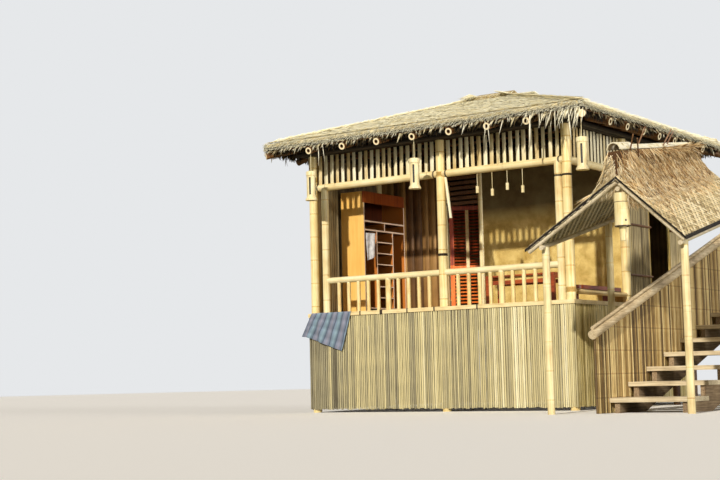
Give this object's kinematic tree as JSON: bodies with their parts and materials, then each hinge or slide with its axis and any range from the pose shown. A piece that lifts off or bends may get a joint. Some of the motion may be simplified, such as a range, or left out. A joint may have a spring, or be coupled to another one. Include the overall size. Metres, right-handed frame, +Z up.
{
  "type": "stilt house",
  "caption": "Small bamboo stilt house with an open railed veranda, a low hipped thatch roof, and a stepped side path under a woven canopy.",
  "frame": {"origin": "middle of the outline's box at ground level, under the house", "axes": "+X to the right along the railed front, +Y into the house, +Z up"},
  "size_m": [7.88, 7.056, 5.2703],
  "materials": {
    "culm_golden": "waxy skin, satin, with pale rings",
    "culm_pale": "sun-bleached bamboo skin, satin",
    "culm_brown": "aged brown bamboo, dull",
    "split_bamboo": "weathered split bamboo, matt",
    "deck_bamboo": "flattened bamboo boards, worn",
    "rafter_pale": "pale culms with dark hollow ends",
    "thatch_straw": "weathered grass thatch, rough",
    "thatch_brown": "dark palm thatch, rough",
    "woven_mat": "woven split bamboo mat, matt",
    "woven_palm": "woven palm leaf panels, dry",
    "dark_boards": "dark brown boards",
    "shelf_boards": "varnished orange-brown boards, satin",
    "red_boards": "red-brown painted slats, satin",
    "path_timber": "grey-brown weathered timber",
    "hanging_bamboo": "small bamboo pieces, satin",
    "striped_cloth": "striped woven cotton"
  },
  "bodies": {
    "root": {"front_posts": "culm_golden", "jack_posts": "culm_golden", "middle_posts": "culm_golden", "rear_posts": "culm_golden", "floor_bearers": "culm_brown", "floor_joists": "culm_brown", "floor_deck": "deck_bamboo", "floor_edges": "culm_pale", "front_skirt": "split_bamboo", "left_skirt": "split_bamboo", "right_skirt": "split_bamboo", "rear_skirt": "split_bamboo", "left_railing": "culm_golden", "right_railing": "culm_golden", "side_rail": "culm_brown", "side_seat": "red_boards", "valance_beams": "culm_pale", "left_valance": "culm_pale", "right_valance": "culm_pale", "side_valance": "culm_brown", "wall_plates": "culm_brown", "front_rafters": "rafter_pale", "left_rafters": "rafter_pale", "right_rafters": "rafter_pale", "rear_rafters": "rafter_pale", "hip_rafters": "rafter_pale", "eave_poles": "culm_brown", "roof_battens": "culm_brown", "front_thatch": "thatch_straw", "left_thatch": "thatch_straw", "right_thatch": "thatch_straw", "rear_thatch": "thatch_straw", "ridge_cap": "thatch_straw", "board_wall": "dark_boards", "mat_wall": "woven_mat", "door_posts": "culm_golden", "door_transom": "culm_brown", "left_wall": "woven_mat", "right_wall": "woven_mat", "rear_wall": "woven_mat", "shelf_unit": "shelf_boards", "slatted_bench": "red_boards", "lanterns": "hanging_bamboo", "wind_chimes": "hanging_bamboo", "blanket": "striped_cloth", "path_treads": "path_timber", "path_strings": "path_timber", "landing_deck": "path_timber", "landing_frame": "culm_brown", "handrail": "culm_brown", "handrail_slats": "split_bamboo", "canopy_posts": "culm_pale", "canopy_poles": "culm_pale", "canopy_left_panel": "woven_palm", "canopy_right_panel": "woven_palm", "canopy_thatch": "thatch_brown", "canopy_cap": "culm_pale", "bamboo_bell": "hanging_bamboo"},
    "door": {"door_leaf": "red_boards"}
  },
  "joints": [
    {"name": "door_hinge", "type": "hinge", "parent": "root", "child": "door", "pos_m": [-1.917, 0.66302, 1.6], "axis": [0, 0, 1], "range_deg": [-25, 65]}
  ]
}
